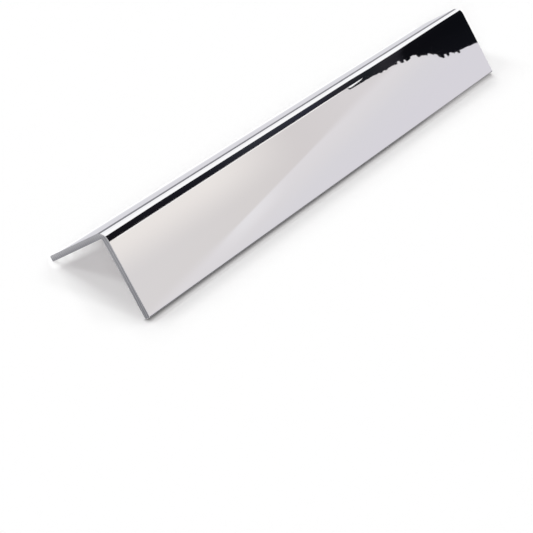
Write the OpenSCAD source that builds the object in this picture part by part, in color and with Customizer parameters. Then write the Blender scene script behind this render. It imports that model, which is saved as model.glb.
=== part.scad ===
// L-shaped corner trim: one length of bright extruded aluminium angle.
// It lies as an upside-down V, on the tips of both legs, on the plane Z = 0.
// X runs along the trim. The origin is under the middle of the whole piece.

/* [Length] */
// Length of the piece, between its two square saw cuts
trim_length = 220; // [40:5:600]

/* [Section] */
// Width of the front leg, over the corner
front_leg = 25; // [12:0.5:60]
// Width of the back leg, over the corner
back_leg = 20; // [12:0.5:60]
// Thickness of both legs
wall = 1.7; // [1.2:0.1:4]

/* [Roundings] */
// Radius along the outer corner
corner_r = 2.8; // [0.5:0.1:3.3]
// Radius of the fillet in the inner corner
fillet_r = 0.6; // [0.2:0.1:3]
// Radius on both edges of each leg's tip
tip_r = 0.4; // [0.1:0.05:0.55]

/* [Finish] */
// Colour of the polished metal
metal_colour = "gainsboro"; // ["gainsboro", "silver", "whitesmoke"]

/* [Hidden] */
$fn = 96;

// How far a cutter reaches past the face that it cuts
overshoot = 1;

// Slope of the front leg below level, with both tips on the floor
lean = atan((back_leg - wall) / (front_leg - wall));

// Height of the virtual outer corner above the floor
corner_height = (front_leg - tip_r) * sin(lean) + (wall - tip_r) * cos(lean) + tip_r;

// Reach of each leg sideways from the virtual outer corner, over its rounded tip
front_reach = (front_leg - tip_r) * cos(lean) - tip_r * sin(lean) + tip_r;
back_reach = (back_leg - tip_r) * sin(lean) - tip_r * cos(lean) + tip_r;

// One leg, from the virtual outer corner along X, with both edges of its tip rounded
module leg(width) {
    square([width - tip_r, wall]);
    translate([0, tip_r]) square([width, wall - 2 * tip_r]);
    for (edge = [tip_r, wall - tip_r]) {
        translate([width - tip_r, edge]) circle(tip_r);
    }
}

// What a rounding leaves out of a square corner at the origin, in the first quadrant
module corner_waste(radius, past) {
    difference() {
        translate([-past, -past]) square(radius + past);
        translate([radius, radius]) circle(radius);
    }
}

// The section: the front leg runs along X and the back leg along Y
module section() {
    difference() {
        union() {
            leg(front_leg);
            mirror([1, -1]) leg(back_leg);
        }
        corner_waste(corner_r, overshoot);
    }
    translate([wall, wall]) corner_waste(fillet_r, 0);
}

// The whole trim: the section drawn out along X and set down on both tips
module l_trim() {
    color(metal_colour)
    translate([0, (front_reach - back_reach) / 2, corner_height])
    rotate([180 + lean, 0, 0])
    rotate([90, 0, 90])
    linear_extrude(height = trim_length, center = true) section();
}

l_trim();
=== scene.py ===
import math
import random

import bpy
from mathutils import Matrix, Vector

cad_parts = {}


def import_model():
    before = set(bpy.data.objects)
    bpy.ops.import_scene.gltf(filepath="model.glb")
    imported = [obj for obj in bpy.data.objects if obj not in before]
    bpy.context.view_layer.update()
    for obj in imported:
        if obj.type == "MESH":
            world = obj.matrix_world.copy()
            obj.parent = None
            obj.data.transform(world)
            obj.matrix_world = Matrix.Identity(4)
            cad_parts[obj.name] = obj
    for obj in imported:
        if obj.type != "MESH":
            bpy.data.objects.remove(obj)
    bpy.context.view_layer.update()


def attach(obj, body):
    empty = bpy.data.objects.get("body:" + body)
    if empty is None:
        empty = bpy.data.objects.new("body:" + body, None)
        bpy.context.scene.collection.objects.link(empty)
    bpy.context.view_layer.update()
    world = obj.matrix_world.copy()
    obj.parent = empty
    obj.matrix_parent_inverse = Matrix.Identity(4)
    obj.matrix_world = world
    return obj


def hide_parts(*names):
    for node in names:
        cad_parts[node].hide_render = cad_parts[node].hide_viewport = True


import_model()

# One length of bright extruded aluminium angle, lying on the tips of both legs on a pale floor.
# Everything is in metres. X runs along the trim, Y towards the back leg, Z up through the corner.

# Sizes of the trim
MM = 0.001
TRIM_LENGTH = 220 * MM
FRONT_LEG = 25 * MM
BACK_LEG = 20 * MM
WALL = 1.7 * MM
CORNER_RADIUS = 2.8 * MM
FILLET_RADIUS = 0.6 * MM
TIP_RADIUS = 0.4 * MM
ROUNDING_STEPS = 40

# The arris at both cuts, broken with a file, which leaves it about as dull as the mill finish
CUT_ARRIS = 0.08 * MM
ARRIS_STEPS = 2
ARRIS_SHARPER_THAN = math.radians(60)

# Slope of the front leg below level, with both tips on the floor
LEAN = math.atan((BACK_LEG - WALL) / (FRONT_LEG - WALL))

# Place of the outer corner before it is rounded, with the whole piece centred over the origin
CORNER_HEIGHT = ((FRONT_LEG - TIP_RADIUS) * math.sin(LEAN)
                 + (WALL - TIP_RADIUS) * math.cos(LEAN) + TIP_RADIUS)
FRONT_REACH = (FRONT_LEG - TIP_RADIUS) * math.cos(LEAN) - TIP_RADIUS * math.sin(LEAN) + TIP_RADIUS
BACK_REACH = (BACK_LEG - TIP_RADIUS) * math.sin(LEAN) - TIP_RADIUS * math.cos(LEAN) + TIP_RADIUS
CORNER_Y = (FRONT_REACH - BACK_REACH) / 2

# Distance of the back leg's outer face from the X axis
BACK_FACE = CORNER_Y * math.cos(LEAN) + CORNER_HEIGHT * math.sin(LEAN)

# The sizes that the extrusion takes, by the names of its inputs
ANGLE_SIZES = {
    "Length": TRIM_LENGTH,
    "Front leg": FRONT_LEG,
    "Back leg": BACK_LEG,
    "Wall": WALL,
    "Corner radius": CORNER_RADIUS,
    "Fillet radius": FILLET_RADIUS,
    "Tip radius": TIP_RADIUS,
    "Lean": LEAN,
    "Corner Y": CORNER_Y,
    "Corner height": CORNER_HEIGHT,
    "Rounding steps": ROUNDING_STEPS,
}

# How far a face's normal has to turn along an axis to take a finish other than the polish
FACES_FRONT = -0.86
FACES_DOWN = -0.3
FACES_ALONG = 0.9

# Colours of the metal
POLISHED = (0.9, 0.9, 0.915)
MILL_DARK = (0.60, 0.60, 0.615)
MILL_LIGHT = (0.74, 0.74, 0.755)
# Ends of the cuts' ramp, which carries the saw marks and the painted shade and light on the cuts
SAWN_DARK = (0.150, 0.150, 0.166)
SAWN_LIGHT = (0.461, 0.461, 0.482)
# Front leg's tip: a dull finish whose near-black tone is painted shade, for the dark contact shadow in its
# reflection
DULL_SHADE_DARK = (0.08, 0.08, 0.09)
DULL_SHADE_LIGHT = (0.13, 0.13, 0.14)

# The rings of the saw marks lie round a point far below the cut
BLADE_OFFSET = (0, -0.09, 0.11)


# Helpers for node trees

def feed(tree, target, source):
    """Give a socket either a link from another socket or a plain value."""
    if isinstance(source, bpy.types.NodeSocket):
        tree.links.new(source, target)
    else:
        target.default_value = source


def node(tree, kind, inputs=None, **settings):
    """A new node with its settings, and with a source for each input that is named."""
    made = tree.nodes.new(kind)
    for name, value in settings.items():
        setattr(made, name, value)
    for name, source in (inputs or {}).items():
        feed(tree, made.inputs[name], source)
    return made


def math_node(tree, operation, *sources):
    made = node(tree, "ShaderNodeMath", operation=operation)
    for socket, source in zip(made.inputs, sources):
        feed(tree, socket, source)
    return made.outputs[0]


def product(tree, first, *others):
    """All of the sources multiplied together."""
    result = first
    for other in others:
        result = math_node(tree, "MULTIPLY", result, other)
    return result


def total(tree, first, *others):
    """All of the sources added up."""
    result = first
    for other in others:
        result = math_node(tree, "ADD", result, other)
    return result


def smooth_step(tree, value, across, gives=(0.0, 1.0)):
    """Eases from the first given number to the second while the value goes across its range."""
    made = node(tree, "ShaderNodeMapRange", {
        "Value": value,
        "From Min": across[0],
        "From Max": across[1],
        "To Min": gives[0],
        "To Max": gives[1],
    }, interpolation_type="SMOOTHSTEP")
    return made.outputs["Result"]


def ramp(tree, value, stops, span=(0.0, 1.0)):
    """A colour ramp over a span of the value, with its stops in the value's own units."""
    low, high = span
    share = node(tree, "ShaderNodeMapRange", {"Value": value, "From Min": low, "From Max": high})
    made = node(tree, "ShaderNodeValToRGB", {"Fac": share.outputs["Result"]})
    elements = made.color_ramp.elements
    while len(elements) < len(stops):
        elements.new(1.0)
    for element, (place, colour) in zip(elements, stops):
        element.position = (place - low) / (high - low)
        element.color = opaque(colour)
    return made.outputs["Color"]


def opaque(colour):
    return (*colour, 1.0)


def mixed(tree, share, first, second):
    """The first colour where the share is 0 and the second where it is 1."""
    made = node(tree, "ShaderNodeMix", {"Factor": share}, data_type="RGBA")
    slots = [socket for socket in made.inputs if socket.type == "RGBA"]
    for slot, colour in zip(slots, (first, second)):
        feed(tree, slot, opaque(colour) if isinstance(colour, tuple) else colour)
    return next(socket for socket in made.outputs if socket.type == "RGBA")


def tinted(tree, first, second):
    """The second, a colour, multiplied by another colour or by a plain share."""
    made = node(tree, "ShaderNodeVectorMath", operation="MULTIPLY")
    feed(tree, made.inputs[0], first)
    feed(tree, made.inputs[1], second)
    return made.outputs["Vector"]


def noise(tree, vector, scale, detail=2.0, roughness=0.5):
    made = node(tree, "ShaderNodeTexNoise", {
        "Vector": vector,
        "Scale": scale,
        "Detail": detail,
        "Roughness": roughness,
    })
    return made.outputs["Fac"]


def placed(tree, scale=(1, 1, 1), location=(0, 0, 0)):
    """Object coordinates, stretched and moved for a pattern."""
    coordinates = node(tree, "ShaderNodeTexCoord")
    mapping = node(tree, "ShaderNodeMapping", {
        "Vector": coordinates.outputs["Object"],
        "Scale": scale,
        "Location": location,
    })
    return mapping.outputs["Vector"]


def position(tree):
    """The X, Y and Z of a point in object coordinates."""
    return node(tree, "ShaderNodeSeparateXYZ", {"Vector": placed(tree)}).outputs


def bump_node(tree, height, distance):
    made = node(tree, "ShaderNodeBump", {"Strength": 1.0, "Distance": distance, "Height": height})
    return made.outputs["Normal"]


def empty_material(name):
    material = bpy.data.materials.new(name)
    material.use_nodes = True
    material.node_tree.nodes.clear()
    return material, material.node_tree


def finish_material(tree, shader):
    node(tree, "ShaderNodeOutputMaterial", {"Surface": shader})


def metal_shader(tree, colour, roughness, bump=None):
    """A bare metal; its colour and roughness are plain values or sockets."""
    shader = node(tree, "ShaderNodeBsdfPrincipled", {
        "Base Color": colour,
        "Metallic": 1.0,
        "Roughness": roughness,
    })
    if bump is not None:
        feed(tree, shader.inputs["Normal"], bump)
    finish_material(tree, shader.outputs["BSDF"])


# Finishes of the metal

def polished_aluminium():
    """Mirror-polished outside: a clear reflection with a trace of haze and of buffing waves along X."""
    material, tree = empty_material("polished_aluminium")
    haze = noise(tree, placed(tree, scale=(0.25, 1, 1)), scale=160, detail=4)
    roughness = smooth_step(tree, haze, across=(0.3, 0.7), gives=(0.006, 0.014))
    waves = noise(tree, placed(tree, scale=(0.5, 1, 1)), scale=45, detail=1)
    metal_shader(tree, opaque(POLISHED), roughness, bump_node(tree, waves, 0.001 * MM))
    return material


def mill_aluminium():
    """Inside of the legs, left as it came from the die: dull, with fine die lines along X."""
    material, tree = empty_material("mill_aluminium")
    lines = noise(tree, placed(tree, scale=(0.012, 1, 1)), scale=3800, detail=3, roughness=0.6)
    colour = ramp(tree, lines, [(0.3, MILL_DARK), (0.7, MILL_LIGHT)])
    roughness = smooth_step(tree, lines, across=(0.3, 0.7), gives=(0.24, 0.34))
    metal_shader(tree, colour, roughness, bump_node(tree, lines, 0.01 * MM))
    return material


def saw_marks(tree):
    """Fine, slightly curved marks of the saw blade across the section, with a speckle over them."""
    blade = node(tree, "ShaderNodeTexWave", {
        "Vector": placed(tree, location=BLADE_OFFSET),
        "Scale": 480,
        "Distortion": 2.0,
        "Detail": 2.0,
        "Detail Scale": 1.5,
    }, wave_type="RINGS", rings_direction="X", wave_profile="SIN")
    speckle = noise(tree, placed(tree), scale=1500, detail=3)
    return math_node(tree, "MULTIPLY_ADD", speckle, 0.6, blade.outputs["Fac"])


def sawn_aluminium():
    """Cut ends: grey saw marks, with painted shade darker towards the front leg's tip and past the corner,
    and painted light along the back face.
    """
    material, tree = empty_material("sawn_aluminium")
    marks = saw_marks(tree)
    place = position(tree)
    # Painted shade towards the front leg's tip and past the corner, and painted light along the back leg's
    # outer side
    painted_shade_up_front_leg = smooth_step(tree, place["Y"], across=(-16 * MM, 1 * MM), gives=(-0.45, 0.40))
    painted_shade_past_corner = smooth_step(tree, place["Y"], across=(3 * MM, 7 * MM), gives=(0.0, -0.55))
    outward = math_node(tree, "MULTIPLY", place["Y"], math.cos(LEAN))
    outward = math_node(tree, "MULTIPLY_ADD", place["Z"], math.sin(LEAN), outward)
    painted_light_outer_side = smooth_step(tree, outward, across=(BACK_FACE - WALL, BACK_FACE), gives=(0.0, 1.5))
    shade = total(tree, marks, painted_shade_up_front_leg, painted_light_outer_side, painted_shade_past_corner)
    colour = ramp(tree, shade, [(-0.4, SAWN_DARK), (2.6, SAWN_LIGHT)], span=(-0.5, 3.0))
    roughness = smooth_step(tree, marks, across=(0.2, 1.4), gives=(0.5, 0.4))
    metal_shader(tree, colour, roughness, bump_node(tree, marks, 0.02 * MM))
    return material


def dull_shaded_tip_aluminium():
    """Front of the front leg's rounded tip, which the buffing wheel missed; its near-black colour is painted
    shade, for the shadowed floor that it would reflect.
    """
    material, tree = empty_material("dull_shaded_tip_aluminium")
    mottle = noise(tree, placed(tree, scale=(0.2, 1, 1)), scale=900, detail=3)
    colour = ramp(tree, mottle, [(0.3, DULL_SHADE_DARK), (0.7, DULL_SHADE_LIGHT)])
    metal_shader(tree, colour, 0.35)
    return material


# The trim

def by_index(tree, values):
    """One value for each corner of the section, picked by the corner's index."""
    index = node(tree, "GeometryNodeInputIndex")
    switch = node(tree, "GeometryNodeIndexSwitch", {"Index": index.outputs["Index"]}, data_type="FLOAT")
    while len(switch.index_switch_items) < len(values):
        switch.index_switch_items.new()
    for place, value in enumerate(values):
        feed(tree, switch.inputs[str(place)], value)
    return switch.outputs["Output"]


def section_outline(tree, given):
    """The closed outline of the section: the front leg runs along X and the back leg along Y."""
    front = given["Front leg"]
    back = given["Back leg"]
    wall = given["Wall"]
    tip = given["Tip radius"]
    # from the outer corner round the front tip, the inner corner and the back tip
    along_front = (0.0, front, front, wall, wall, 0.0)
    along_back = (0.0, 0.0, wall, wall, back, back)
    radii = (given["Corner radius"], tip, tip, given["Fillet radius"], tip, tip)
    line = node(tree, "GeometryNodeCurvePrimitiveLine")
    points = node(tree, "GeometryNodeResampleCurve", {"Curve": line.outputs["Curve"], "Count": len(radii)})
    corner = node(tree, "ShaderNodeCombineXYZ", {
        "X": by_index(tree, along_front),
        "Y": by_index(tree, along_back),
    })
    shaped = node(tree, "GeometryNodeSetPosition", {
        "Geometry": points.outputs["Curve"],
        "Position": corner.outputs["Vector"],
    })
    closed = node(tree, "GeometryNodeSetSplineCyclic", {
        "Geometry": shaped.outputs["Geometry"],
        "Cyclic": True,
    })
    rounded = node(tree, "GeometryNodeFilletCurve", {
        "Curve": closed.outputs["Geometry"],
        "Count": given["Rounding steps"],
        "Radius": by_index(tree, radii),
    }, mode="POLY")
    return rounded.outputs["Curve"]


def drawn_out(tree, outline, length):
    """The section filled and drawn out between the cuts; the same face, turned over, closes the start."""
    face = node(tree, "GeometryNodeFillCurve", {"Curve": outline}, mode="NGONS")
    start = node(tree, "ShaderNodeCombineXYZ", {"Z": math_node(tree, "MULTIPLY", length, -0.5)})
    first_cut = node(tree, "GeometryNodeTransform", {
        "Geometry": face.outputs["Mesh"],
        "Translation": start.outputs["Vector"],
    })
    turned = node(tree, "GeometryNodeFlipFaces", {"Mesh": first_cut.outputs["Geometry"]})
    drawn = node(tree, "GeometryNodeExtrudeMesh", {
        "Mesh": first_cut.outputs["Geometry"],
        "Offset": (0, 0, 1),
        "Offset Scale": length,
        "Individual": False,
    })
    both = node(tree, "GeometryNodeJoinGeometry")
    for part in (turned, drawn):
        tree.links.new(part.outputs["Mesh"], both.inputs["Geometry"])
    merged = node(tree, "GeometryNodeMergeByDistance", {
        "Geometry": both.outputs["Geometry"],
        "Distance": 0.001 * MM,
    })
    return merged.outputs["Geometry"]


def set_down(tree, mesh, given):
    """The trim turned from the section's own plane, then down onto both tips."""
    upright = node(tree, "GeometryNodeTransform", {
        "Geometry": mesh,
        "Rotation": (math.pi / 2, 0, math.pi / 2),
    })
    turn = node(tree, "ShaderNodeCombineXYZ", {"X": math_node(tree, "ADD", given["Lean"], math.pi)})
    rotation = node(tree, "FunctionNodeEulerToRotation", {"Euler": turn.outputs["Vector"]})
    corner = node(tree, "ShaderNodeCombineXYZ", {"Y": given["Corner Y"], "Z": given["Corner height"]})
    settled = node(tree, "GeometryNodeTransform", {
        "Geometry": upright.outputs["Geometry"],
        "Translation": corner.outputs["Vector"],
        "Rotation": rotation.outputs["Rotation"],
    })
    return settled.outputs["Geometry"]


def finished(tree, mesh, finishes):
    """Each finish where it belongs: polish all over, then the dull tip with its painted shade, mill, and
    sawn with its painted shade and light, on what faces their way.
    """
    normal = node(tree, "GeometryNodeInputNormal")
    facing = node(tree, "ShaderNodeSeparateXYZ", {"Vector": normal.outputs["Normal"]}).outputs
    front = math_node(tree, "LESS_THAN", facing["Y"], FACES_FRONT)
    down = math_node(tree, "LESS_THAN", facing["Z"], FACES_DOWN)
    along = math_node(tree, "GREATER_THAN", math_node(tree, "ABSOLUTE", facing["X"]), FACES_ALONG)
    smooth = node(tree, "GeometryNodeSetShadeSmooth", {"Geometry": mesh})
    last = node(tree, "GeometryNodeRealizeInstances", {"Geometry": smooth.outputs["Geometry"]})
    for finish, chosen in zip(finishes, (True, front, down, along)):
        last = node(tree, "GeometryNodeSetMaterial", {
            "Geometry": last.outputs["Geometry"],
            "Selection": chosen,
            "Material": finish,
        })
    return last.outputs["Geometry"]


def extrusion_tree(finishes):
    """The node tree of the whole angle, and the identifier of each of its inputs by name."""
    tree = bpy.data.node_groups.new("angle_extrusion", "GeometryNodeTree")
    identifiers = {}
    for name, value in ANGLE_SIZES.items():
        kind = "NodeSocketInt" if isinstance(value, int) else "NodeSocketFloat"
        socket = tree.interface.new_socket(name, in_out="INPUT", socket_type=kind)
        identifiers[name] = socket.identifier
    tree.interface.new_socket("Geometry", in_out="OUTPUT", socket_type="NodeSocketGeometry")
    given = node(tree, "NodeGroupInput").outputs
    bar = drawn_out(tree, section_outline(tree, given), given["Length"])
    trim = finished(tree, set_down(tree, bar, given), finishes)
    node(tree, "NodeGroupOutput", {"Geometry": trim})
    return tree, identifiers


def plain_mesh(maker, name):
    """The evaluated result of an object's modifiers as a plain mesh object at the origin."""
    graph = bpy.context.evaluated_depsgraph_get()
    mesh = bpy.data.meshes.new_from_object(maker.evaluated_get(graph), depsgraph=graph)
    mesh.name = name
    piece = bpy.data.objects.new(name, mesh)
    bpy.context.collection.objects.link(piece)
    old = maker.data
    bpy.data.objects.remove(maker)
    bpy.data.meshes.remove(old)
    return piece


def sharp_angle():
    """The extruded angle with its finishes, still with sharp edges at the cuts."""
    finishes = (polished_aluminium(), dull_shaded_tip_aluminium(), mill_aluminium(), sawn_aluminium())
    tree, identifiers = extrusion_tree(finishes)
    maker = bpy.data.objects.new("angle_maker", bpy.data.meshes.new("angle_maker"))
    bpy.context.collection.objects.link(maker)
    grow = maker.modifiers.new("angle", "NODES")
    grow.node_group = tree
    for name, value in ANGLE_SIZES.items():
        grow[identifiers[name]] = value
    angle = plain_mesh(maker, "sharp_angle")
    bpy.data.node_groups.remove(tree)
    return angle


def make_trim():
    """The trim: its cuts get a fine, filed arris, and its flats keep flat shading beside the roundings."""
    angle = sharp_angle()
    arris = angle.modifiers.new("arris", "BEVEL")
    arris.width = CUT_ARRIS
    arris.segments = ARRIS_STEPS
    arris.limit_method = "ANGLE"
    arris.angle_limit = ARRIS_SHARPER_THAN
    arris.material = angle.data.materials.find("mill_aluminium")
    flats = angle.modifiers.new("flats", "WEIGHTED_NORMAL")
    flats.mode = "FACE_AREA"
    flats.weight = 100
    flats.keep_sharp = True
    piece = plain_mesh(angle, "l_trim_polished")
    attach(piece, "root")
    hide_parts("l_trim")


# The cards round the trim, which only the metal sees
# Each is bent round the X axis at its own distance, and a nearer one hides a farther one
RIP_RADIUS = 0.799
FLAG_RADIUS = 0.8
RIM_RADIUS = 0.801
HORIZON_RADIUS = 0.81
SKY_RADIUS = 0.82
SCREEN_RADIUS = 0.85

# Cards that go all the way along the studio run between these places on X
STUDIO_ENDS = (-1.6, 2.4)

# A place on a card is X, and the angle in degrees above the floor behind the trim
HORIZON_ANGLES = (0.0, 9.0)
SCREEN_ANGLES = (60.0, 179.0)
SIDE_SKY_TOP = 70.0

# The flag hangs to the right of this place on X
FLAG_STARTS = 0.79

# Papers that only other views look at stand left of a soft edge between these places on X
SIDE_EDGE = (0.70, 0.76)

# The flag's two edges over X: one overhead, and the torn hem low in front
FLAG_OVERHEAD = ((0.80, 79.5), (0.82, 79.0), (0.88, 72.0), (1.16, 71.0), (1.27, 68.0), (1.31, 75.0),
                 (1.38, 77.0), (1.44, 70.0), (1.50, 64.0), (1.90, 64.0))
FLAG_HEM = ((0.80, 133.11), (0.82, 133.11), (1.06, 133.06), (1.16, 133.05), (1.264, 132.98),
            (1.267, 133.26), (1.307, 133.30), (1.34, 133.46), (1.375, 133.50), (1.41, 133.80),
            (1.44, 134.1), (1.455, 134.5), (1.47, 135.05), (1.50, 135.35), (1.56, 135.73), (1.90, 136.8))

# Stretches of the flag, each from one X to another in so many steps, finest where it is torn
FLAG_STRETCHES = ((0.8, 1.22, 10), (1.224, 1.58, 178), (1.6, 1.9, 8))

# The hem gets looser between two places on X, and it is nearly whole again past a third
TORN = (1.29, 1.43)
WHOLE_AGAIN = 1.51
WHOLE_LOOSENESS = 0.15
TEAR_SEED = 5

# Width on X and depth in degrees of the large and the small tears
TEARS = ((0.014, 0.07), (0.006, 0.17))

# A slit beside the hem
RIP_TOP = 132.99
RIP_BOTTOM = ((1.262, 133.0), (1.269, 133.15), (1.282, 133.13), (1.294, 133.09), (1.302, 132.99))

# The paper's rim runs along the hem, partly behind the flag
RIM_ENDS = (0.82, 1.255)
RIM_HIDDEN = 0.1
RIM_SHOWN = 0.075

# Tones of the flag over X, and how they fade over the angle
FLAG_TONES = [
    (0.82, (0.010, 0.0095, 0.013)),
    (0.97, (0.015, 0.015, 0.022)),
    (1.06, (0.036, 0.039, 0.050)),
    (1.17, (0.033, 0.035, 0.052)),
    (1.25, (0.028, 0.027, 0.034)),
    (1.31, (0.018, 0.021, 0.025)),
    (1.35, (0.034, 0.032, 0.038)),
    (1.385, (0.026, 0.025, 0.032)),
    (1.40, (0.0065, 0.0065, 0.009)),
    (1.52, (0.0055, 0.006, 0.0085)),
]
FLAG_FADE = [
    (70.0, (1.0, 1.0, 1.0)),
    (100.0, (0.8, 0.8, 0.8)),
    (133.5, (0.7, 0.7, 0.7)),
    (135.5, (1.0, 1.0, 1.0)),
]

# The two papers in front meet where the angle and the slope times X add up to the seam
SEAM_SLOPE = 7.96
SEAM = 145.10

# Softness of that seam in degrees, and the stretches of X over which it changes
SEAM_SHARP = 0.09
SEAM_SOFT_NEAR = 0.50
SEAM_SOFT_FAR = 0.45
SHARPENS = (0.95, 1.05)
SOFTENS = (1.20, 1.36)

# The warm paper's tones over X, and the bright part near its upper edge
WARM_TONES = [
    (0.87, (0.746, 0.719, 0.712)),
    (1.10, (0.735, 0.702, 0.688)),
    (1.20, (0.712, 0.676, 0.668)),
    (1.36, (0.742, 0.710, 0.712)),
]
WARM_BRIGHT = (0.905, 0.862, 0.825)
BRIGHT_ANGLES = (133.2, 135.9)
BRIGHT_REACH = (1.03, 1.23)

# The cool paper's tones over the degrees past the seam, and a light patch beside the seam
COOL_TONES = [
    (0.1, (0.797, 0.770, 0.783)),
    (0.9, (0.775, 0.752, 0.766)),
    (1.9, (0.748, 0.731, 0.760)),
    (3.6, (0.742, 0.722, 0.764)),
]
COOL_BRIGHT = (0.850, 0.832, 0.845)
PATCH_STRENGTH = 0.9
PATCH_ANGLES = (0.2, 1.1)
PATCH_RISE = (0.97, 1.07)
PATCH_FALL = (1.07, 1.17)

# The side papers: each runs from cool to light and ends dark at its slanted seam
PAPER_COOL = (0.80, 0.78, 0.80)
PAPER_LIGHT = (0.90, 0.87, 0.85)
PAPER_DARK = (0.50, 0.48, 0.485)
PAPER_FADE = 4.0
PAPER_SEAM = 0.2
SIDE_SLOPE = 12.0
SCREEN_SEAMS = (77.0, 97.0, 106.0, 114.0, 121.5, 128.5, 136.5, 156.0)
SCREEN_SPAN = (60.0, 180.0)
SKY_SEAMS = (20.5, 31.0, 38.5, 48.0, 56.0, 64.5)
SKY_SPAN = (10.0, 80.0)

# One of the side papers is black
BLACK_PAPER = (0.12, 0.12, 0.13)
BLACK_STARTS = (81.5, 82.0)
BLACK_ENDS = (88.0, 88.5)

# The sky's tones over the angle, and a faint fold in it
SKY_STRENGTH = 1.1
SKY_TONES = [
    (10.0, (0.86, 0.86, 0.87)),
    (20.0, (0.87, 0.87, 0.88)),
    (33.0, (0.92, 0.92, 0.925)),
    (46.0, (0.965, 0.965, 0.965)),
]
FOLD_TONE = (0.80, 0.79, 0.79)
FOLD_DEPTH = 0.35
FOLD_STARTS = (38.0, 44.4)
FOLD_ENDS = (44.4, 44.8)

RIM_TONE = (1.0, 0.975, 0.95)
RIP_TONE = (1.0, 1.0, 1.0)
HORIZON_TONE = (0.15, 0.15, 0.165)


def straight_from_view(tree):
    """1 for rays that haven't touched a dull surface yet, so that no card's light falls on the floor."""
    ray = node(tree, "ShaderNodeLightPath")
    return math_node(tree, "LESS_THAN", ray.outputs["Diffuse Depth"], 0.5)


def glow(name, strength=1.0):
    """A card's own light, and the socket that takes its colour."""
    material, tree = empty_material(name)
    light = node(tree, "ShaderNodeEmission", {"Strength": product(tree, straight_from_view(tree), strength)})
    finish_material(tree, light.outputs["Emission"])
    return material, tree, light.inputs["Color"]


def plain_glow(name, tone):
    material, tree, colour = glow(name)
    feed(tree, colour, opaque(tone))
    return material


def card_place(tree):
    """Where a point lies on a card: X, and the angle above the floor behind the trim."""
    place = node(tree, "ShaderNodeUVMap", uv_map="place")
    split = node(tree, "ShaderNodeSeparateXYZ", {"Vector": place.outputs["UV"]})
    return split.outputs["X"], split.outputs["Y"]


def spread(first, last, steps):
    return [first + (last - first) * step / steps for step in range(steps + 1)]


def between(stations, x):
    """The value at x on straight lines between the stations."""
    for (x0, y0), (x1, y1) in zip(stations, stations[1:]):
        if x <= x1:
            return y0 + (y1 - y0) * max(0.0, (x - x0) / (x1 - x0))
    return stations[-1][1]


def curved_card(name, material, radius, stations, start, end, rows=24):
    """A card bent round the X axis, from a start angle to an end angle that both depend on x."""
    verts = []
    faces = []
    places = []
    for x in stations:
        for row in range(rows + 1):
            share = row / rows
            degrees = start(x) * (1 - share) + end(x) * share
            turn = math.radians(degrees)
            verts.append((x, radius * math.cos(turn), radius * math.sin(turn)))
            places.append((x, degrees))
    for column in range(len(stations) - 1):
        for row in range(rows):
            first = column * (rows + 1) + row
            faces.append((first, first + 1, first + rows + 2, first + rows + 1))
    mesh = bpy.data.meshes.new(name)
    mesh.from_pydata(verts, [], faces)
    layer = mesh.uv_layers.new(name="place")
    for loop in mesh.loops:
        layer.data[loop.index].uv = places[loop.vertex_index]
    mesh.materials.append(material)
    card = bpy.data.objects.new(name, mesh)
    bpy.context.collection.objects.link(card)
    seen_in_metal_only(card)


def seen_in_metal_only(card):
    card.visible_camera = False
    card.visible_diffuse = False
    card.visible_transmission = False
    card.visible_volume_scatter = False
    card.visible_shadow = False


def flag_overhead(x):
    return between(FLAG_OVERHEAD, x)


def looseness(x):
    """How far the flag's hem is torn at x, from 0 to 1."""
    if x > WHOLE_AGAIN:
        return WHOLE_LOOSENESS
    start, end = TORN
    return min(1.0, max(0.0, (x - start) / (end - start)))


def ragged_hem():
    """The flag's hem over x, with large and small tears that are drawn once each."""
    chance = random.Random(TEAR_SEED)
    tears = {}

    def hem(x):
        angle = between(FLAG_HEM, x)
        for width, depth in TEARS:
            tear = (width, int(x / width))
            if tear not in tears:
                tears[tear] = chance.uniform(-1, 1)
            angle += tears[tear] * depth * looseness(x)
        return angle
    return hem


def black_flag():
    """Black cloth overhead and in front, torn along its hem."""
    material, tree, colour = glow("black_cloth")
    along, angle = card_place(tree)
    tones = ramp(tree, along, FLAG_TONES, span=(0.6, 1.8))
    fade = ramp(tree, angle, FLAG_FADE, span=(60, 140))
    feed(tree, colour, tinted(tree, tones, fade))
    stations = [x for stretch in FLAG_STRETCHES for x in spread(*stretch)]
    curved_card("black_flag", material, FLAG_RADIUS, stations, flag_overhead, ragged_hem())


def rip():
    """A torn slit in the flag, where the white behind shines through."""
    stations = spread(RIP_BOTTOM[0][0], RIP_BOTTOM[-1][0], steps=20)
    curved_card("rip", plain_glow("rip", RIP_TONE), RIP_RADIUS, stations,
                lambda x: RIP_TOP, lambda x: between(RIP_BOTTOM, x), rows=2)


def side_papers(tree, along, angle, seams, span):
    """Papers that meet on slants, and the slanted place that their seams are counted in."""
    slanted = math_node(tree, "MULTIPLY_ADD", along, SIDE_SLOPE, angle)
    stops = []
    for seam in seams:
        stops.append((seam - PAPER_FADE, PAPER_LIGHT))
        stops.append((seam - PAPER_SEAM, PAPER_DARK))
        stops.append((seam + PAPER_SEAM, PAPER_COOL))
    return ramp(tree, slanted, stops, span), slanted


def rise_and_fall(tree, place, rise, fall, height=1.0):
    """Rises from 0 to the height across one stretch of the place, and falls back to 0 across another."""
    return product(tree, smooth_step(tree, place, rise, (0.0, height)),
                   smooth_step(tree, place, fall, (1.0, 0.0)))


def warm_paper(tree, along, angle):
    """The left paper in front: warm, and brightest near its upper edge on the near side."""
    tones = ramp(tree, along, WARM_TONES, span=(0.8, 1.4))
    bright = product(tree, smooth_step(tree, angle, BRIGHT_ANGLES, (1.0, 0.0)),
                     smooth_step(tree, along, BRIGHT_REACH, (1.0, 0.0)))
    return mixed(tree, bright, tones, WARM_BRIGHT)


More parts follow.
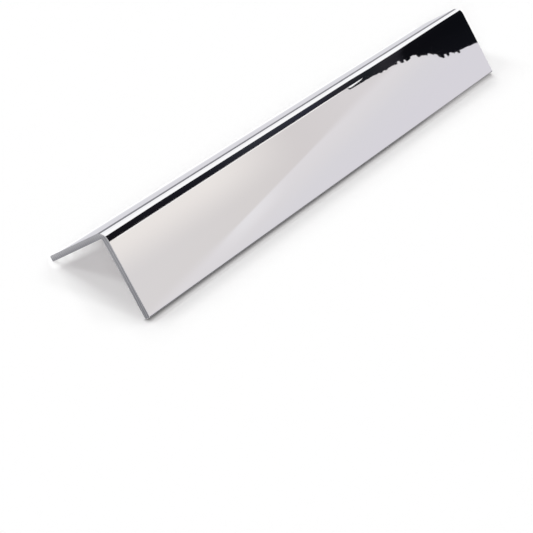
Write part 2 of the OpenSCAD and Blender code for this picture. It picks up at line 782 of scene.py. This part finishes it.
def cool_paper(tree, along, past_seam):
    """The right paper in front: cool, and a little lighter beside the seam."""
    tones = ramp(tree, past_seam, COOL_TONES, span=(0.0, 4.0))
    patch = product(tree, rise_and_fall(tree, along, PATCH_RISE, PATCH_FALL),
                    smooth_step(tree, past_seam, PATCH_ANGLES, (PATCH_STRENGTH, 0.0)))
    return mixed(tree, patch, tones, COOL_BRIGHT)


def front_papers(tree, along, angle):
    """The two papers in front; their seam is sharp in the middle and soft towards both ends."""
    past_seam = math_node(tree, "MULTIPLY_ADD", along, SEAM_SLOPE, -SEAM)
    past_seam = math_node(tree, "ADD", angle, past_seam)
    softness = math_node(tree, "MAXIMUM",
                         smooth_step(tree, along, SHARPENS, (SEAM_SOFT_NEAR, SEAM_SHARP)),
                         smooth_step(tree, along, SOFTENS, (SEAM_SHARP, SEAM_SOFT_FAR)))
    share = smooth_step(tree, math_node(tree, "DIVIDE", past_seam, softness), (-1.0, 1.0))
    return mixed(tree, share, warm_paper(tree, along, angle), cool_paper(tree, along, past_seam))


def pale_screen():
    """The wall in front of the trim: two papers that meet on a slant, and more papers to the left."""
    material, tree, colour = glow("pale_screen")
    along, angle = card_place(tree)
    side, slanted = side_papers(tree, along, angle, SCREEN_SEAMS, SCREEN_SPAN)
    side = mixed(tree, rise_and_fall(tree, slanted, BLACK_STARTS, BLACK_ENDS), side, BLACK_PAPER)
    share = smooth_step(tree, along, SIDE_EDGE)
    feed(tree, colour, mixed(tree, share, side, front_papers(tree, along, angle)))
    curved_card("pale_screen", material, SCREEN_RADIUS, spread(*STUDIO_ENDS, steps=80),
                lambda x: SCREEN_ANGLES[0], lambda x: SCREEN_ANGLES[1], rows=60)


def paper_edge():
    """The bright rim of a paper, just below the flag's hem."""
    curved_card("paper_edge", plain_glow("paper_edge", RIM_TONE), RIM_RADIUS, spread(*RIM_ENDS, steps=60),
                lambda x: between(FLAG_HEM, x) - RIM_HIDDEN,
                lambda x: between(FLAG_HEM, x) + RIM_SHOWN, rows=2)


def sky_top(x):
    """The sky ends at the flag, and lower down where there is no flag."""
    return flag_overhead(x) if x > FLAG_STARTS else SIDE_SKY_TOP


def sky_card():
    """White sky over the near part, a little greyer low down; toned papers to its left."""
    material, tree, colour = glow("sky_card", SKY_STRENGTH)
    along, angle = card_place(tree)
    side, slanted = side_papers(tree, along, angle, SKY_SEAMS, SKY_SPAN)
    white = ramp(tree, angle, SKY_TONES, span=(0.0, 90.0))
    white = mixed(tree, rise_and_fall(tree, slanted, FOLD_STARTS, FOLD_ENDS, FOLD_DEPTH), white, FOLD_TONE)
    feed(tree, colour, mixed(tree, smooth_step(tree, along, SIDE_EDGE), side, white))
    curved_card("sky_card", material, SKY_RADIUS, spread(*STUDIO_ENDS, steps=200),
                lambda x: HORIZON_ANGLES[1], sky_top)


def horizon_band():
    """The dark far end of the room, low behind the trim."""
    curved_card("horizon_band", plain_glow("horizon_band", HORIZON_TONE), HORIZON_RADIUS,
                spread(*STUDIO_ENDS, steps=8),
                lambda x: HORIZON_ANGLES[0], lambda x: HORIZON_ANGLES[1], rows=4)


# The floor, the surrounding light and the lamps
FLOOR_HALF = 12.0
FLOOR_PAINT = (0.572, 0.590, 0.583)

# Paint that darkens the floor towards the line where the front leg's tip stands, less so at the far end
TIP_SHADE_RISE = (-16.9 * MM, -15.2 * MM)
TIP_SHADE_FALL = (-15.0 * MM, -14.7 * MM)
TIP_SHADE_SIDES = (109 * MM, 111.5 * MM)
TIP_SHADE_WEAKENS = (35 * MM, 90 * MM)
TIP_SHADE_NEAR = 0.8
TIP_SHADE_FAR = 0.5

# A soft, fainter band of paint farther out in front
SOFT_SHADE_RISE = (-21.8 * MM, -18.0 * MM)
SOFT_SHADE_FALL = (-17.6 * MM, -16.6 * MM)
SOFT_SHADE_SIDES = (101 * MM, 112 * MM)
SOFT_SHADE = 0.095

# What the metal sees of the floor over Y: white up to just behind the trim, then a grey band of painted
# shade for the trim's shadow behind it, then darker
MIRRORED_STRENGTH = 1.1
MIRRORED_FLOOR_SHADE = [
    (17.46 * MM, (1.0, 1.0, 1.0)),
    (17.60 * MM, (0.65, 0.645, 0.682)),
    (24 * MM, (0.65, 0.645, 0.682)),
    (28 * MM, (0.236, 0.236, 0.255)),
]

# Share of the world's white light that also falls on the object and the floor
WORLD_SHARE = 0.05

# Each soft lamp's share of the light on the open floor, height and direction in degrees, and width
SOFT_LAMPS = (
    ("back_lamp_near", 0.18, 37.0, 91.0, 17.0),
    ("back_lamp_far", 0.17, 37.0, 74.0, 17.0),
    ("back_left_lamp", 0.17, 30.0, 130.0, 14.0),
    ("far_lamp", 0.13, 45.0, 45.0, 16.0),
    ("front_lamp", 0.14, 55.0, 322.0, 16.0),
    ("near_low_lamp", 0.10, 21.0, 196.0, 12.0),
    ("near_lamp", 0.06, 36.0, 211.0, 14.0),
)

# Small spots in the gap under the back leg's near end: X and Y in millimetres, and share of light
GAP_SPOTS = (
    (-109, 14.4, 0.33),
    (-105.5, 14.0, 0.45),
    (-102, 13.6, 0.38),
    (-98, 13.2, 0.28),
    (-94, 12.8, 0.20),
)
SPOT_RADIUS = 2.6 * MM
SPOT_DISTANCE = 0.25
SPOT_DIRECTION = (-0.75, -0.37, 0.55)


def painted_shade(tree):
    """How much of the floor's pale tone is left where it is shaded with paint, from 1 down."""
    place = position(tree)
    sideways = math_node(tree, "ABSOLUTE", place["X"])
    tip_shade = product(tree, rise_and_fall(tree, place["Y"], TIP_SHADE_RISE, TIP_SHADE_FALL),
                        smooth_step(tree, sideways, TIP_SHADE_SIDES, (1.0, 0.0)))
    depth = smooth_step(tree, place["X"], TIP_SHADE_WEAKENS, (-TIP_SHADE_NEAR, -TIP_SHADE_FAR))
    soft_shade = product(tree, rise_and_fall(tree, place["Y"], SOFT_SHADE_RISE, SOFT_SHADE_FALL, SOFT_SHADE),
                         smooth_step(tree, sideways, SOFT_SHADE_SIDES, (1.0, 0.0)))
    return product(tree, math_node(tree, "MULTIPLY_ADD", tip_shade, depth, 1.0),
                   math_node(tree, "SUBTRACT", 1.0, soft_shade))


def open_floor(tree, ray):
    """The floor that the camera sees: white where the light is free, and it keeps the shadow."""
    kept = painted_shade(tree)
    paint = node(tree, "ShaderNodeBsdfDiffuse", {"Color": tinted(tree, kept, FLOOR_PAINT)})
    lift = node(tree, "ShaderNodeEmission", {
        "Color": opaque(1.0 - share for share in FLOOR_PAINT),
        "Strength": product(tree, ray["Is Camera Ray"], kept),
    })
    return added(tree, paint.outputs["BSDF"], lift.outputs["Emission"])


def added(tree, first, second):
    made = node(tree, "ShaderNodeAddShader")
    feed(tree, made.inputs[0], first)
    feed(tree, made.inputs[1], second)
    return made.outputs["Shader"]


def mirrored_floor(tree):
    """The floor as the metal sees it, in strips along the trim, with a grey band of painted shade just
    behind the trim.
    """
    light = node(tree, "ShaderNodeEmission", {
        "Color": ramp(tree, position(tree)["Y"], MIRRORED_FLOOR_SHADE, span=(0.0, 0.1)),
        "Strength": product(tree, straight_from_view(tree), MIRRORED_STRENGTH),
    })
    return light.outputs["Emission"]


def floor_material():
    material, tree = empty_material("pale_floor")
    ray = node(tree, "ShaderNodeLightPath").outputs
    seen = node(tree, "ShaderNodeMixShader", {"Fac": ray["Is Glossy Ray"]})
    feed(tree, seen.inputs[1], open_floor(tree, ray))
    feed(tree, seen.inputs[2], mirrored_floor(tree))
    finish_material(tree, seen.outputs["Shader"])
    return material


def floor():
    """A large, level floor at Z = 0."""
    reach = FLOOR_HALF
    corners = [(-reach, -reach, 0), (reach, -reach, 0), (reach, reach, 0), (-reach, reach, 0)]
    mesh = bpy.data.meshes.new("floor")
    mesh.from_pydata(corners, [], [(0, 1, 2, 3)])
    mesh.materials.append(floor_material())
    plane = bpy.data.objects.new("floor", mesh)
    bpy.context.collection.objects.link(plane)


def world():
    """White all round for the camera and the metal, and a faint share of it as light."""
    surround = bpy.data.worlds.new("studio")
    bpy.context.scene.world = surround
    surround.use_nodes = True
    tree = surround.node_tree
    tree.nodes.clear()
    ray = node(tree, "ShaderNodeLightPath").outputs
    seen = math_node(tree, "MAXIMUM", ray["Is Camera Ray"], ray["Is Glossy Ray"])
    seen = math_node(tree, "MAXIMUM", seen, ray["Is Transmission Ray"])
    seen = product(tree, seen, straight_from_view(tree))
    light = node(tree, "ShaderNodeBackground", {
        "Color": (1.0, 1.0, 1.0, 1.0),
        "Strength": math_node(tree, "MULTIPLY_ADD", seen, 1.0 - WORLD_SHARE, WORLD_SHARE),
    })
    node(tree, "ShaderNodeOutputWorld", {"Surface": light.outputs["Background"]})


def put_lamp(lamp, place, toward):
    """Hang a lamp at a place so that its light comes from the given direction."""
    holder = bpy.data.objects.new(lamp.name, lamp)
    bpy.context.collection.objects.link(holder)
    turn = toward.to_track_quat("Z", "Y").to_matrix().to_4x4()
    holder.matrix_world = Matrix.Translation(place) @ turn
    holder.visible_glossy = False


def soft_lamp(name, share, elevation, azimuth, width):
    """A distant lamp that gives the open floor its share of the light; azimuth 0 stands over +X."""
    lamp = bpy.data.lights.new(name, "SUN")
    height = math.radians(elevation)
    turn = math.radians(azimuth)
    lamp.energy = math.pi * share / math.sin(height)
    lamp.angle = math.radians(width)
    level = math.cos(height)
    toward = Vector((level * math.cos(turn), level * math.sin(turn), math.sin(height)))
    put_lamp(lamp, Vector(), toward)


def small_spot(name, target, share):
    """A spot that adds its share of light to a small round of floor, from the near side."""
    toward = Vector(SPOT_DIRECTION).normalized()
    lamp = bpy.data.lights.new(name, "SPOT")
    lamp.energy = 4 * math.pi * math.pi * share * SPOT_DISTANCE * SPOT_DISTANCE / toward.z
    lamp.spot_size = 2 * math.atan(SPOT_RADIUS / SPOT_DISTANCE)
    lamp.spot_blend = 1.0
    lamp.shadow_soft_size = 0.0
    put_lamp(lamp, target + toward * SPOT_DISTANCE, toward)


def lamps():
    for settings in SOFT_LAMPS:
        soft_lamp(*settings)
    for number, (x, y, share) in enumerate(GAP_SPOTS, start=1):
        small_spot("gap_spot_%d" % number, Vector((x * MM, y * MM, 0)), share)


# The camera stands where the photo was taken from
CAMERA_PLACE = (-0.48644, -0.17235, 0.28827)
CAMERA_YAW = math.radians(70.706)
CAMERA_PITCH = math.radians(32.627)
CAMERA_ROLL = math.radians(-20.290)
CAMERA_LENS_MM = 132.556
SENSOR_WIDTH_MM = 36.0
NEAREST_SEEN = 0.01


def camera():
    """A long lens that looks down along the trim, with the horizon tilted as in the photo."""
    forward = Vector((math.sin(CAMERA_YAW) * math.cos(CAMERA_PITCH),
                      math.cos(CAMERA_YAW) * math.cos(CAMERA_PITCH), -math.sin(CAMERA_PITCH)))
    level = Vector((math.cos(CAMERA_YAW), -math.sin(CAMERA_YAW), 0.0))
    down = forward.cross(level)
    right = level * math.cos(CAMERA_ROLL) + down * math.sin(CAMERA_ROLL)
    up = level * math.sin(CAMERA_ROLL) - down * math.cos(CAMERA_ROLL)
    lens = bpy.data.cameras.new("camera")
    lens.lens = CAMERA_LENS_MM
    lens.sensor_width = SENSOR_WIDTH_MM
    lens.clip_start = NEAREST_SEEN
    holder = bpy.data.objects.new("camera", lens)
    bpy.context.collection.objects.link(holder)
    turn = Matrix((right, up, -forward)).transposed().to_4x4()
    holder.matrix_world = Matrix.Translation(CAMERA_PLACE) @ turn
    bpy.context.scene.camera = holder


camera()
make_trim()
floor()
world()
lamps()
pale_screen()
black_flag()
rip()
sky_card()
paper_edge()
horizon_band()

bpy.context.scene.view_settings.view_transform = "Standard"
